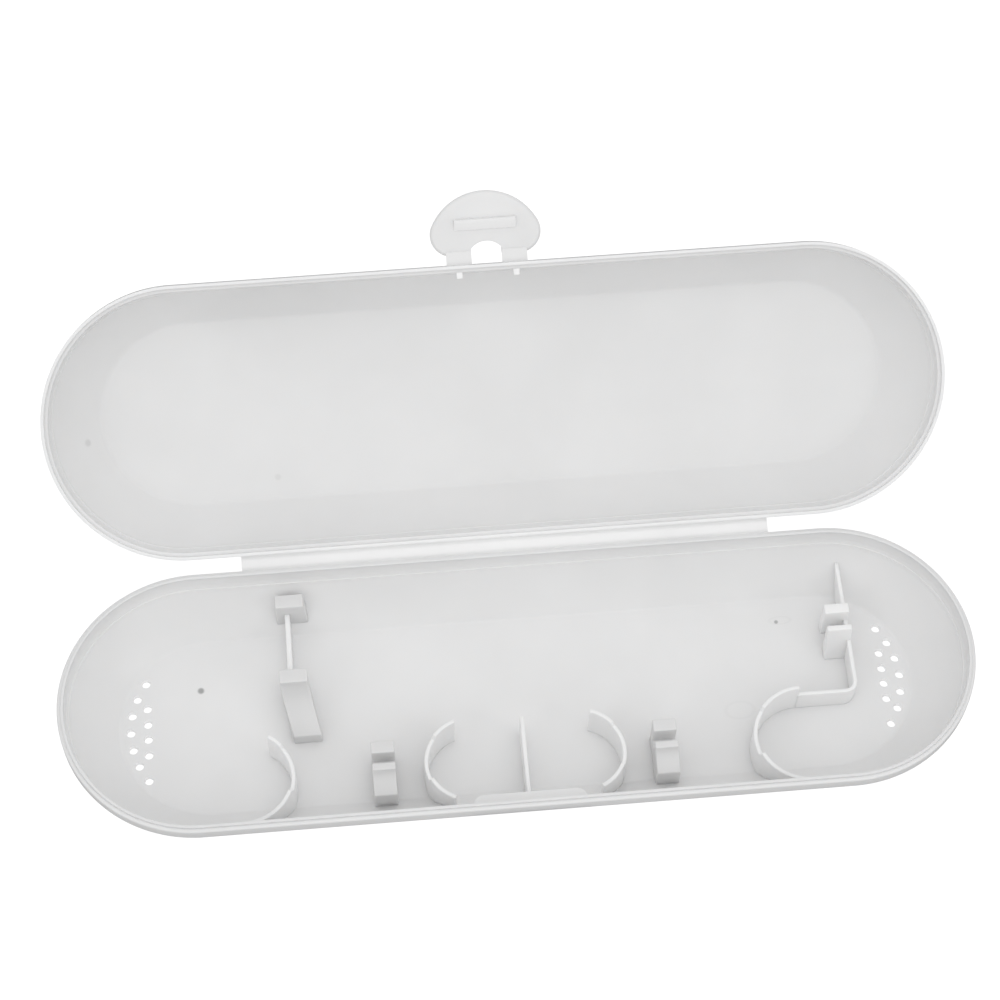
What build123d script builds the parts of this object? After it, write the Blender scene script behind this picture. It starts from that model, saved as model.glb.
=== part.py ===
from build123d import *
import os
from math import asin, cos, hypot, radians, sin, sqrt

os.makedirs("parts", exist_ok=True)

# ---------------------------------------------------------------------------
# Driving dimensions, in millimetres and degrees.
# Each half is drawn about the middle of its own rim plane: x along the case,
# y away from the front, z up out of the tray. Depths and insets are measured
# down from the rim plane and in from the outer face of the rim.
# ---------------------------------------------------------------------------
case_length = 212.0
case_width = 64.5
half_depth = 17.4
floor_thickness = 1.4
wall_thickness = 1.5
band_height = 3.2           # upright band below the rim
wall_slope_top = 21.3       # lean of the wall just below the band
wall_slope_bottom = 47.3    # lean of the wall where it meets the underside
end_inset_ratio = 1.27      # the ends lean in more than the long walls
wall_sections = 6
floor_fillet = 2.0
above_rim = 3.0             # how far the inner space is cut above the rim plane
cut_margin = 1.0            # how far a cut runs past the face that it opens

rim_gap = 0.1               # each land stays this far from the parting plane
tongue_thickness = 0.7
tongue_height = 0.6
skirt_thickness = 0.75
skirt_height = 0.8

vent_diameter = 2.0
vent_arc_x = 69.2
vent_arc_radius = 21.5
vent_arc_step = 11.6
vent_arc_steps = (-3, -2, -1, 0, 1, 2, 3)
vent_column_x = 86.7
vent_column_y = (-5.87, -1.9, 1.9, 5.87)

lid_tilt = 37.7             # lid's rim plane above flat-open, at rest
hinge_length = 124.6
hinge_thickness = 0.6
hinge_offset = 0.42         # the fold lines stand this far outside the walls
hinge_pitch = 3.62          # between the two fold lines

rib_thickness = 0.95
crest_front = 3.8
crest_back = 5.2
crest_middle = 6.2
crest_low = 9.0
block_top = 5.0

ring_x = 64.8
ring_y = -17.7
ring_radius = 11.6
ring_left_start = 123       # this and the next four are angles of the right ring
ring_right_start = 90       # about its centre; the left one is its mirror image
ring_back_step = 143
ring_front_step = 201
ring_end = 272
cup_x = 12.5
cup_y = -17.6
cup_radius = 10.3
cup_start = -66             # angles of the right cup
cup_front_step = -24
cup_back_step = 37
cup_end = 72

divider_front = -27.5
divider_back = -7.5

neck_clip_x = 32.5
neck_clip_width = 5.4
neck_jaw_back = -11.4
neck_slot_back = -14.4
neck_slot_front = -16.8
neck_jaw_front = -18.6
neck_jaw_toe = -23.8
neck_toe_depth = 7.8
neck_toe_steps = 6
neck_slot_depth = 10.2

cradle_left = -55.2
cradle_right = -48.6
cradle_rear_back = 27.5
cradle_rear_front = 24.1
cradle_front_back = 8.3
cradle_front_front = 4.9
cradle_toe = -5.8
cradle_toe_depth = 12.2
cradle_lean = 2.4
cradle_sections = 4
cradle_rear_lean = 1.2
cradle_rib_x = -52.6
cradle_rib_thickness = 1.2
cradle_rib_crest = 8.7

shaft_wall_x = 78.7
shaft_corner_radius = 2.5
shaft_clip_left = 73.4
shaft_jaw_rear = (12.0, 14.5)
shaft_jaw_front = (7.5, 8.9)
shaft_jaw_toe = 4.9

catch_half_width = 13.0
catch_inset = 4.65
catch_top = 2.6
catch_ledge = 3.8
catch_bottom = 10.4
catch_corner = 2.5
pocket_inset = 3.25
pocket_side_wall = 1.4

lug_x = 6.65
lug_width = 1.4
lug_reach = 1.5
lug_top = 1.1
lug_height = 0.9

latch_offset = 0.45         # latch fold line outside the lid's free edge
latch_drop = 2.4            # latch fold line below the lid's rim plane
latch_strap_thickness = 0.5
latch_strap_inner = 3.56
latch_strap_outer = 9.45
flap_tip = 16.85            # this and the next five are measured from the free edge
flap_lobe_y = 7.0
flap_window_side = 3.5
flap_window_top = 5.2
hook_near = 7.8
hook_far = 10.55
flap_lobe_x = 7.9
flap_arc_radius = 13.86
flap_thickness = 1.4
flap_bevel = 0.6
hook_half_width = 7.2
hook_height = 1.7
hook_back_lean = 0.25

rim_radius = case_width / 2
front_face = -rim_radius
rim_thickness = wall_thickness / cos(radians(wall_slope_top))


# ---------------------------------------------------------------------------
# Walls: their lean grows with depth, along one arc
# ---------------------------------------------------------------------------
def arc_radius():
    drop = half_depth - band_height
    return drop / (sin(radians(wall_slope_bottom)) - sin(radians(wall_slope_top)))


def lean_at(depth):
    """Lean of the wall from upright, in radians."""
    return asin(sin(radians(wall_slope_top)) + (depth - band_height) / arc_radius())


def outer_inset(depth):
    return arc_radius() * (cos(radians(wall_slope_top)) - cos(lean_at(depth)))


def outer_insets(depth):
    side = outer_inset(depth)
    return side, side * end_inset_ratio


def inner_insets(depth):
    side = outer_inset(depth) + wall_thickness / cos(lean_at(depth))
    return side, rim_thickness + (side - rim_thickness) * end_inset_ratio


def stadium(depth, side_inset, end_inset):
    length = case_length - 2 * end_inset
    width = case_width - 2 * side_inset
    return Plane.XY.offset(-depth) * SlotOverall(length, width)


def bowl(insets, bottom):
    """Smooth solid from the band's foot down to a depth."""
    step = (bottom - band_height) / (wall_sections - 1)
    depths = [band_height + step * number for number in range(wall_sections)]
    return loft([stadium(depth, *insets(depth)) for depth in depths])


def upright(inset, top, bottom):
    """Upright stadium block between two depths."""
    return extrude(stadium(bottom, inset, inset), bottom - top)


def outer_solid(top):
    return bowl(outer_insets, half_depth) + upright(0, top, band_height)


def inner_space():
    """The space inside a half, open at the rim."""
    space = bowl(inner_insets, half_depth - floor_thickness)
    lowest_edges = space.edges().group_by(Axis.Z)[0]
    below_band = fillet(lowest_edges, floor_fillet)
    return below_band + upright(rim_thickness, -above_rim, band_height)


def rim_ring(outer, thickness, top, bottom):
    """Upright ring that follows the rim, from an inset inwards."""
    return upright(outer, top, bottom) - upright(outer + thickness, top - cut_margin, bottom + cut_margin)


# ---------------------------------------------------------------------------
# Helpers
# ---------------------------------------------------------------------------
def block(x_range, y_range, z_range):
    size = [high - low for low, high in (x_range, y_range, z_range)]
    middle = [(high + low) / 2 for low, high in (x_range, y_range, z_range)]
    return Pos(*middle) * Box(*size)


def prism(points, x_low, x_high):
    """Prism along x whose outline has the given (y, z) points."""
    outline = make_face(Polyline(*points, close=True))
    return Plane.YZ.offset(x_low) * extrude(outline, x_high - x_low)


def curved_wall(centre, radius, spans):
    """Upright wall along a circle, with a crest depth for each span of angles."""
    half = rib_thickness / 2
    wall = None
    for start, end, crest in spans:
        arc = CenterArc(centre, radius, start, end - start)
        path = offset(arc, half, side=Side.BOTH)
        part = Pos(0, 0, -half_depth) * extrude(make_face(path), half_depth - crest)
        wall = part if wall is None else wall + part
    return wall


def mirrored(spans):
    return [(180 - end, 180 - start, crest) for start, end, crest in spans]


def largest(shape):
    return max(shape.solids(), key=lambda solid: solid.volume)


# ---------------------------------------------------------------------------
# Base tray
# ---------------------------------------------------------------------------
def vent_holes():
    points = [(vent_column_x, y) for y in vent_column_y]
    for step in vent_arc_steps:
        angle = radians(step * vent_arc_step)
        x = vent_arc_x + vent_arc_radius * cos(angle)
        points.append((x, vent_arc_radius * sin(angle)))
    drill = Cylinder(vent_diameter / 2, 2 * (floor_thickness + cut_margin))
    return [Pos(side * x, y, -half_depth) * drill for x, y in points for side in (-1, 1)]


def catch_zone():
    """Room for the latch catch in the front wall, with rounded inner corners."""
    reach = 2 * catch_inset
    outline = RectangleRounded(2 * catch_half_width, 2 * reach, catch_corner)
    plan = Pos(0, front_face + catch_inset - reach, -catch_bottom) * outline
    return extrude(plan, catch_bottom - catch_top)


def base_shell(space):
    shell = outer_solid(rim_gap) - space
    for hole in vent_holes():
        shell = shell - hole
    return shell - catch_zone()


def base_rim_tongue():
    outer = rim_thickness - tongue_thickness
    return rim_ring(outer, tongue_thickness, -tongue_height, rim_gap)


def latch_catch():
    """Ledge under the rim with a pocket below it, closed towards the inside."""
    solid = outer_solid(rim_gap) + upright(0, catch_top, catch_ledge)
    half = catch_half_width - pocket_side_wall
    pocket = block(
        (-half, half),
        (front_face - cut_margin, front_face + pocket_inset),
        (-half_depth, -catch_ledge),
    )
    return (solid & catch_zone()) - pocket


def handle_rest_rear(space):
    middle_y = (cradle_rear_back + cradle_rear_front) / 2
    depth = cradle_rear_back - cradle_rear_front
    width = cradle_right - cradle_left
    middle_x = (cradle_left + cradle_right) / 2
    top = Pos(middle_x, middle_y, -block_top) * Rectangle(width, depth)
    lean = cradle_rear_lean
    foot = Pos(middle_x + lean / 2, middle_y, -half_depth) * Rectangle(width + lean, depth)
    return loft([top, foot]) & space


def cradle_plan(run):
    """Plan of the cradle's front block; run goes from 0 at its top to 1 at its toe."""
    front = cradle_front_front + (cradle_toe - cradle_front_front) * run
    corners = [
        (cradle_left + cradle_lean * run, front),
        (cradle_right + cradle_lean * run, front),
        (cradle_right, cradle_front_back),
        (cradle_left, cradle_front_back),
    ]
    return make_face(Polyline(*corners, close=True))


def handle_rest_front(space):
    """Flat-topped block whose front runs down in a hollow curve to a blunt toe."""
    sections = []
    for number in range(cradle_sections):
        share = number / (cradle_sections - 1)
        depth = block_top + (cradle_toe_depth - block_top) * share
        sections.append(Pos(0, 0, -depth) * cradle_plan(share ** 2))
    foot = Pos(0, 0, -half_depth) * extrude(cradle_plan(1), half_depth - cradle_toe_depth)
    return (loft(sections) + foot) & space


def handle_rest_rib(space):
    half = cradle_rib_thickness / 2
    rib = block(
        (cradle_rib_x - half, cradle_rib_x + half),
        (cradle_front_back, cradle_rear_front),
        (-half_depth, -cradle_rib_crest),
    )
    return rib & space


def ring_spans(start):
    """Right ring, from its back end round the left side to the front wall."""
    return [
        (start, ring_back_step, crest_back),
        (ring_back_step, ring_front_step, crest_middle),
        (ring_front_step, ring_end, crest_front),
    ]


def cup_spans():
    """Right cup, from its front end round the right side to its back end."""
    return [
        (cup_start, cup_front_step, crest_front),
        (cup_front_step, cup_back_step, crest_middle),
        (cup_back_step, cup_end, crest_back),
    ]


def brush_ring_left(space):
    spans = mirrored(ring_spans(ring_left_start))
    return largest(curved_wall((-ring_x, ring_y), ring_radius, spans) & space)


def brush_ring_right(space):
    spans = ring_spans(ring_right_start)
    return largest(curved_wall((ring_x, ring_y), ring_radius, spans) & space)


def brush_cup_left(space):
    return largest(curved_wall((-cup_x, cup_y), cup_radius, mirrored(cup_spans())) & space)


def brush_cup_right(space):
    return largest(curved_wall((cup_x, cup_y), cup_radius, cup_spans()) & space)


def cup_divider(space):
    half = rib_thickness / 2
    return block((-half, half), (divider_front, divider_back), (-half_depth, -crest_middle)) & space


def neck_clip(centre, space):
    """Block with a cross slot; its front runs down in a hollow curve to a blunt toe."""
    half = neck_clip_width / 2
    outline = [(neck_jaw_back, -half_depth), (neck_jaw_back, -block_top)]
    for step in range(neck_toe_steps + 1):
        share = step / neck_toe_steps
        run = (neck_jaw_toe - neck_jaw_front) * share ** 2
        outline.append((neck_jaw_front + run, -block_top - (neck_toe_depth - block_top) * share))
    outline.append((neck_jaw_toe, -half_depth))
    slot = block(
        (-neck_clip_width, neck_clip_width),
        (neck_slot_front, neck_slot_back),
        (-neck_slot_depth, 0),
    )
    return Pos(centre, 0, 0) * (prism(outline, -half, half) - slot) & space


def shaft_wall(space, ring):
    """Low wall from the right ring, round a corner and straight to the back wall."""
    front = ring_y + ring_radius
    corners = [(ring_x, front), (shaft_wall_x, front), (shaft_wall_x, rim_radius)]
    path = FilletPolyline(*corners, radius=shaft_corner_radius)
    outline = offset(path, rib_thickness / 2, side=Side.BOTH)
    wall = Pos(0, 0, -half_depth) * extrude(make_face(outline), half_depth - crest_low)
    return (wall & space) - ring


def shaft_clip_jaw(jaw, toe, space, wall):
    """Upright jaw beside the shaft wall; its front face may slant out to a toe."""
    front, back = jaw
    outline = [(back, -half_depth), (back, -block_top), (front, -block_top), (toe, -half_depth)]
    right = shaft_wall_x + rib_thickness / 2
    return largest((prism(outline, shaft_clip_left, right) & space) - wall)


# ---------------------------------------------------------------------------
# Hinge strap, drawn about the middle between its two fold lines
# ---------------------------------------------------------------------------
def hinge_strap():
    plate = Box(hinge_length, hinge_pitch, hinge_thickness)
    edge = Rot(0, 90, 0) * Cylinder(hinge_thickness / 2, hinge_length)
    for side in (-1, 1):
        plate = plate + Pos(0, side * hinge_pitch / 2, 0) * edge
    return plate


# ---------------------------------------------------------------------------
# Lid
# ---------------------------------------------------------------------------
def lid_land():
    return rim_gap + skirt_height


def lid_shell(space):
    return outer_solid(lid_land()) - space


def lid_rim_skirt():
    return rim_ring(0, skirt_thickness, rim_gap, lid_land())


def lid_snap_lugs():
    """Two small lugs on the inside of the free edge, one behind each latch strap."""
    inner_face = rim_radius - rim_thickness
    lugs = []
    for side in (-1, 1):
        middle = side * lug_x
        lugs.append(block(
            (middle - lug_width / 2, middle + lug_width / 2),
            (inner_face - lug_reach, inner_face),
            (-lug_top - lug_height, -lug_top),
        ))
    return Compound(children=lugs)


# ---------------------------------------------------------------------------
# Latch, drawn about its fold line: y outwards from the lid
# ---------------------------------------------------------------------------
def flap_top():
    return latch_strap_thickness / 2


def lobe_reach():
    """From the middle of the flap's large arc to the middle of a lobe."""
    return hypot(flap_lobe_x, flap_lobe_y - flap_tip + flap_arc_radius)


def lobe_radius():
    """The lobes touch the large arc from inside."""
    return flap_arc_radius - lobe_reach()


def strap_end():
    """Where the straps reach the lobes, from the lid's free edge."""
    return flap_lobe_y - sqrt(lobe_radius() ** 2 - (latch_strap_outer - flap_lobe_x) ** 2)


def flap_outline():
    """One large arc, a lobe at each side and a straight edge between the lobes."""
    stretch = flap_arc_radius / lobe_reach()
    meet_x = stretch * flap_lobe_x
    meet_y = flap_tip - flap_arc_radius + stretch * (flap_lobe_y - flap_tip + flap_arc_radius)
    side_x = flap_lobe_x + lobe_radius()
    foot_y = flap_lobe_y - lobe_radius()
    return make_face([
        ThreePointArc((-meet_x, meet_y), (0, flap_tip), (meet_x, meet_y)),
        ThreePointArc((meet_x, meet_y), (side_x, flap_lobe_y), (flap_lobe_x, foot_y)),
        Line((flap_lobe_x, foot_y), (-flap_lobe_x, foot_y)),
        ThreePointArc((-flap_lobe_x, foot_y), (-side_x, flap_lobe_y), (-meet_x, meet_y)),
    ])


def flap_window():
    """Opening between the straps, with an arched top."""
    side = latch_strap_inner
    return make_face([
        Polyline((-side, flap_window_side), (-side, 0), (side, 0), (side, flap_window_side)),
        ThreePointArc((side, flap_window_side), (0, flap_window_top), (-side, flap_window_side)),
    ])


def latch_flap():
    plate = extrude(flap_outline(), flap_thickness)
    plate = chamfer(plate.edges().group_by(Axis.Z)[-1], flap_bevel)
    outer = latch_strap_outer
    through = (-cut_margin, flap_thickness + cut_margin)
    plate = plate - block((-outer, outer), (0, strap_end()), through)
    window = Pos(0, 0, -cut_margin) * extrude(flap_window(), flap_thickness + 2 * cut_margin)
    plate = plate - window
    return Pos(0, -latch_offset, flap_top() - flap_thickness) * plate


def latch_hook_rib():
    low = flap_top()
    near = hook_near - latch_offset
    far = hook_far - latch_offset
    outline = [(near, low), (far - hook_back_lean, low + hook_height), (far, low)]
    return prism(outline, -hook_half_width, hook_half_width)


def latch_strap(side):
    """Thin strap with a rounded edge on the fold line."""
    width = latch_strap_outer - latch_strap_inner
    length = strap_end() - latch_offset
    plate = Pos(0, length / 2, 0) * Box(width, length, latch_strap_thickness)
    edge = Rot(0, 90, 0) * Cylinder(latch_strap_thickness / 2, width)
    return Pos(side * (latch_strap_inner + latch_strap_outer) / 2, 0, 0) * (plate + edge)


# ---------------------------------------------------------------------------
# Places of the three moving bodies, at rest
# ---------------------------------------------------------------------------
def base_place():
    return Pos(0, 0, half_depth)


def hinge_place():
    """Both folds share the opening angle, so the strap leans half as far as the lid."""
    first_fold = Pos(0, rim_radius + hinge_offset, half_depth - hinge_pitch / 2)
    return first_fold * Rot(lid_tilt / 2, 0, 0) * Pos(0, hinge_pitch / 2, 0)


def lid_place():
    second_fold = hinge_place() * Pos(0, hinge_pitch / 2, 0) * Rot(lid_tilt / 2, 0, 0)
    return second_fold * Pos(0, hinge_offset + rim_radius, hinge_pitch / 2)


def latch_place():
    return lid_place() * Pos(0, rim_radius + latch_offset, -latch_drop)


def write(place, pieces):
    for name, shape in pieces.items():
        export_step(place * shape, f"parts/{name}.step")


def build():
    space = inner_space()
    ring = brush_ring_right(space)
    wall = shaft_wall(space, ring)
    write(base_place(), {
        "base_shell": base_shell(space),
        "base_rim_tongue": base_rim_tongue(),
        "latch_catch": latch_catch(),
        "handle_rest_rear": handle_rest_rear(space),
        "handle_rest_front": handle_rest_front(space),
        "handle_rest_rib": handle_rest_rib(space),
        "brush_ring_left": brush_ring_left(space),
        "brush_ring_right": ring,
        "brush_cup_left": brush_cup_left(space),
        "brush_cup_right": brush_cup_right(space),
        "cup_divider": cup_divider(space),
        "neck_clip_left": neck_clip(-neck_clip_x, space),
        "neck_clip_right": neck_clip(neck_clip_x, space),
        "shaft_wall": wall,
        "shaft_clip_rear_jaw": shaft_clip_jaw(shaft_jaw_rear, shaft_jaw_rear[0], space, wall),
        "shaft_clip_front_jaw": shaft_clip_jaw(shaft_jaw_front, shaft_jaw_toe, space, wall),
    })
    write(hinge_place(), {"hinge_strap": hinge_strap()})
    write(lid_place(), {
        "lid_shell": lid_shell(space),
        "lid_rim_skirt": lid_rim_skirt(),
        "lid_snap_lugs": lid_snap_lugs(),
    })
    write(latch_place(), {
        "latch_flap": latch_flap(),
        "latch_hook_rib": latch_hook_rib(),
        "latch_strap_left": latch_strap(-1),
        "latch_strap_right": latch_strap(1),
    })


build()
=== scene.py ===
from math import asin, atan2, cos, hypot, pi, radians, sin, sqrt, tan

import bmesh
import bpy
from mathutils import Matrix, Vector


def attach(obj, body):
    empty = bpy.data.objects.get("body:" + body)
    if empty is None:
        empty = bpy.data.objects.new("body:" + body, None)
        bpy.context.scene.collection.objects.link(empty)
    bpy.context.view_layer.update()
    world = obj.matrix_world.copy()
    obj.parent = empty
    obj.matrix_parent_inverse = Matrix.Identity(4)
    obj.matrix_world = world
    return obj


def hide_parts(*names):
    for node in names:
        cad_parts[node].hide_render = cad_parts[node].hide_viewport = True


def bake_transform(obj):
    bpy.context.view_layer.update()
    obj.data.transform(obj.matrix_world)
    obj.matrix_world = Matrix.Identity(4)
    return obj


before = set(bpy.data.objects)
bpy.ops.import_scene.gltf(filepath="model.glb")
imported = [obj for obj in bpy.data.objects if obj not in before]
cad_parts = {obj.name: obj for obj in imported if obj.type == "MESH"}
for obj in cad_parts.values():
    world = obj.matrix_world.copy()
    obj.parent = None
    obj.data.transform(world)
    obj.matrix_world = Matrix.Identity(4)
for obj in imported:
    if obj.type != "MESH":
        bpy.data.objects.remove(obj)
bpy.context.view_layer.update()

# ---------------------------------------------------------------------------
# Dimensions in millimetres and degrees. Down to the latch's they are the
# solids' own, apart from the floor_fillet, which is 2.0 there. Each half is
# drawn about the middle of its own rim plane: x along the case, y away from
# the front, z up out of the tray. Depths and insets are measured down from
# the rim plane and in from the outer face of the rim.
# ---------------------------------------------------------------------------
MM = 0.001
case_length = 212.0
case_width = 64.5
half_depth = 17.4
floor_thickness = 1.4
wall_thickness = 1.5
band_height = 3.2
wall_slope_top = 21.3
wall_slope_bottom = 47.3
end_inset_ratio = 1.27
floor_fillet = 1.3
above_rim = 3.0
cut_margin = 1.0

rim_gap = 0.1
tongue_thickness = 0.7
tongue_height = 0.6
skirt_thickness = 0.75
skirt_height = 0.8

vent_diameter = 2.0
vent_arc_x = 69.2
vent_arc_radius = 21.5
vent_arc_step = 11.6
vent_arc_steps = (-3, -2, -1, 0, 1, 2, 3)
vent_column_x = 86.7
vent_column_y = (-5.87, -1.9, 1.9, 5.87)

lid_tilt = 37.7
hinge_length = 124.6
hinge_thickness = 0.6
hinge_offset = 0.42
hinge_pitch = 3.62

rib_thickness = 0.95
crest_front = 3.8
crest_back = 5.2
crest_middle = 6.2
crest_low = 9.0
block_top = 5.0

ring_x = 64.8
ring_y = -17.7
ring_radius = 11.6
ring_left_start = 123
ring_right_start = 90
ring_back_step = 143
ring_front_step = 201
ring_end = 272
cup_x = 12.5
cup_y = -17.6
cup_radius = 10.3
cup_start = -66
cup_front_step = -24
cup_back_step = 37
cup_end = 72

divider_front = -27.5
divider_back = -7.5

neck_clip_x = 32.5
neck_clip_width = 5.4
neck_jaw_back = -11.4
neck_slot_back = -14.4
neck_slot_front = -16.8
neck_jaw_front = -18.6
neck_jaw_toe = -23.8
neck_toe_depth = 7.8
neck_slot_depth = 10.2

cradle_left = -55.2
cradle_right = -48.6
cradle_rear_back = 27.5
cradle_rear_front = 24.1
cradle_front_back = 8.3
cradle_front_front = 4.9
cradle_toe = -5.8
cradle_toe_depth = 12.2
cradle_lean = 2.4
cradle_rear_lean = 1.2
cradle_rib_x = -52.6
cradle_rib_thickness = 1.2
cradle_rib_crest = 8.7

shaft_wall_x = 78.7
shaft_corner_radius = 2.5
shaft_clip_left = 73.4
shaft_jaw_rear = (12.0, 14.5)
shaft_jaw_front = (7.5, 8.9)
shaft_jaw_toe = 4.9

catch_half_width = 13.0
catch_inset = 4.65
catch_top = 2.6
catch_ledge = 3.8
catch_bottom = 10.4
catch_corner = 2.5
pocket_inset = 3.25
pocket_side_wall = 1.4

lug_x = 6.65
lug_width = 1.4
lug_reach = 1.5
lug_top = 1.1
lug_height = 0.9

latch_offset = 0.45
latch_drop = 2.4
latch_strap_thickness = 0.5
latch_strap_inner = 3.56
latch_strap_outer = 9.45
flap_tip = 16.85
flap_lobe_x = 7.9
flap_lobe_y = 7.0
flap_arc_radius = 13.86
flap_window_side = 3.5
flap_window_top = 5.2
flap_thickness = 1.4
flap_bevel = 0.6
hook_near = 7.8
hook_far = 10.55
hook_half_width = 7.2
hook_height = 1.7
hook_back_lean = 0.25

# Edges that a mould leaves rounded, and the fine forms of the walls
edge_round = 0.2
rib_round = 0.3
rib_end_round = 0.15
block_round = 0.25
small_round = 0.15
catch_round = 0.45
pocket_round = 0.5
bend_round = 0.5
inner_bend = 0.8
land_round = 0.5
underside_round = 0.9
flap_foot_round = 0.3
vent_flare = 0.05
shelf_depth = 4.1
shelf_width = 0.22
shelf_fall = 0.05
shelf_drop = 0.8
hold = 0.3                  # width of the flat strip that ends a rounded corner
embed = 0.15                # ribs and lugs run this far into what carries them
rib_overlap = 0.5           # the cradle's rib runs this far into its two blocks
hook_embed = 0.1

# Thin webs at the folds
web_thickness = 0.3
web_overlap = 0.3           # a web runs this far into the rims it joins
web_reach = 0.35            # and this far into the strap
web_bend = 0.2              # its middle line starts to turn this far before the fold
strap_overlap = 0.35
strap_extra_thickness = 0.04

# How finely curves are drawn
arc_steps = 96
straight_steps = 48
wall_steps = 26
corner_steps = 6
crest_steps = 4
hole_steps = 28
post_steps = 8              # along each straight rib, and round the shaft wall's corner
shaft_wall_steps = 12
cradle_steps = 14
neck_steps = 10
flap_arc_steps = 40
lobe_steps = 24
arch_steps = 20
hinge_steps = 40
strap_steps = 20
strap_stations = 6
bend_steps = 5
wall_point_step = 2.5       # degrees between the points of a curved wall
crest_ramp = 4.0            # degrees over which its crest changes depth

rim_radius = case_width / 2
front_face = -rim_radius
rim_thickness = wall_thickness / cos(radians(wall_slope_top))


# ---------------------------------------------------------------------------
# The walls' shape: their lean grows with depth, along one arc
# ---------------------------------------------------------------------------
def arc_radius():
    drop = half_depth - band_height
    return drop / (sin(radians(wall_slope_bottom)) - sin(radians(wall_slope_top)))


def lean_at(depth):
    return asin(sin(radians(wall_slope_top)) + (depth - band_height) / arc_radius())


def outer_inset(depth):
    return arc_radius() * (cos(radians(wall_slope_top)) - cos(lean_at(depth)))


def inner_inset(depth):
    return outer_inset(depth) + wall_thickness / cos(lean_at(depth))


def rounded(start, corner, end, steps=corner_steps):
    """Points of a soft corner between two points, on a parabola."""
    points = []
    for number in range(steps + 1):
        share = number / steps
        rest = 1 - share
        points.append(tuple(
            rest * rest * a + 2 * rest * share * b + share * share * c
            for a, b, c in zip(start, corner, end)
        ))
    return points


def stadium_ring(inset, depth, thickness=0.0):
    """Points round a half at a depth. The ends lean in more than the long walls."""
    over = max(inset - thickness, 0)
    end_inset = inset + (end_inset_ratio - 1) * over
    radius = rim_radius - inset
    reach = case_length / 2 - end_inset - radius
    ring = []
    for side in (1, -1):
        for step in range(arc_steps):
            angle = -pi / 2 + pi * step / arc_steps
            x = reach + radius * cos(angle)
            ring.append((side * x, side * radius * sin(angle), -depth))
        for step in range(straight_steps):
            x = side * reach * (1 - 2 * step / straight_steps)
            ring.append((x, side * radius, -depth))
    return ring


# ---------------------------------------------------------------------------
# Mesh helpers
# ---------------------------------------------------------------------------
merge_distance = 0.0005
smooth_limit = 32           # degrees: sharper edges stay sharp in the shading
web_smooth_limit = 60
bevel_limit = 30            # degrees: sharper edges are rounded
rib_end_limit = 60
level_tolerance = 0.01      # an edge is level where its ends differ by less in height


def new_piece(name, mesh_data):
    """A piece from a finished bmesh, in millimetres about its own half."""
    bmesh.ops.recalc_face_normals(mesh_data, faces=mesh_data.faces[:])
    mesh = bpy.data.meshes.new(name)
    mesh_data.to_mesh(mesh)
    mesh_data.free()
    piece = bpy.data.objects.new(name, mesh)
    bpy.context.scene.collection.objects.link(piece)
    return piece


def add_rings(mesh_data, rings, closed=False):
    """Skins rings of equal length, and returns their vertices."""
    rows = [[mesh_data.verts.new(point) for point in ring] for ring in rings]
    pairs = list(zip(rows, rows[1:]))
    if closed:
        pairs.append((rows[-1], rows[0]))
    for low, high in pairs:
        for index in range(len(low)):
            after = (index + 1) % len(low)
            mesh_data.faces.new((low[index], low[after], high[after], high[index]))
    return rows


def solid_mesh(rings):
    """Skins rings of equal length and closes both ends."""
    mesh_data = bmesh.new()
    rows = add_rings(mesh_data, rings)
    mesh_data.faces.new(rows[0])
    mesh_data.faces.new(rows[-1])
    bmesh.ops.recalc_face_normals(mesh_data, faces=mesh_data.faces[:])
    return mesh_data


def along_x(outline, x_low, x_high, stations=1):
    """Rings along x, each with the outline's (y, z) points."""
    places = [x_low + (x_high - x_low) * step / stations for step in range(stations + 1)]
    return [[(x, y, z) for y, z in outline] for x in places]


def boolean(piece, cutter, operation):
    """Applies one exact boolean and removes the cutter."""
    modifier = piece.modifiers.new("cut", "BOOLEAN")
    modifier.operation = operation
    modifier.solver = "EXACT"
    modifier.object = cutter
    bpy.context.view_layer.update()
    shaped = piece.evaluated_get(bpy.context.evaluated_depsgraph_get())
    mesh = bpy.data.meshes.new_from_object(shaped)
    piece.modifiers.clear()
    piece.data = mesh
    bpy.data.objects.remove(cutter)
    return piece


def smooth_by_angle(piece, limit):
    """Smooth shading, with the edges above the limit kept sharp."""
    mesh_data = bmesh.new()
    mesh_data.from_mesh(piece.data)
    bmesh.ops.remove_doubles(mesh_data, verts=mesh_data.verts[:], dist=merge_distance)
    bmesh.ops.dissolve_degenerate(mesh_data, edges=mesh_data.edges[:], dist=merge_distance)
    for face in mesh_data.faces:
        face.smooth = True
    for edge in mesh_data.edges:
        edge.smooth = len(edge.link_faces) == 2 and edge.calc_face_angle(pi) < radians(limit)
    mesh_data.to_mesh(piece.data)
    mesh_data.free()


def bevel(mesh_data, width, edges=None, steps=3):
    """Rounds the given edges, or all that are sharper than the limit."""
    if edges is None:
        edges = [
            edge for edge in mesh_data.edges
            if len(edge.link_faces) == 2 and edge.calc_face_angle(0) > radians(bevel_limit)
        ]
    bmesh.ops.bevel(
        mesh_data, geom=edges, offset=width, segments=steps, profile=0.5,
        affect="EDGES", clamp_overlap=True,
    )


def block_mesh(x_range, y_range, z_range):
    mesh_data = bmesh.new()
    bmesh.ops.create_cube(mesh_data, size=1)
    for vertex in mesh_data.verts:
        for axis, (low, high) in enumerate((x_range, y_range, z_range)):
            vertex.co[axis] = low if vertex.co[axis] < 0 else high
    return mesh_data


def prism_mesh(points, x_low, x_high):
    """Prism along x whose outline has the given (y, z) points."""
    return solid_mesh(along_x(points, x_low, x_high))


# ---------------------------------------------------------------------------
# The two shells
# ---------------------------------------------------------------------------
def depths(top, bottom):
    return [top + (bottom - top) * step / wall_steps for step in range(wall_steps + 1)]


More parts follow.
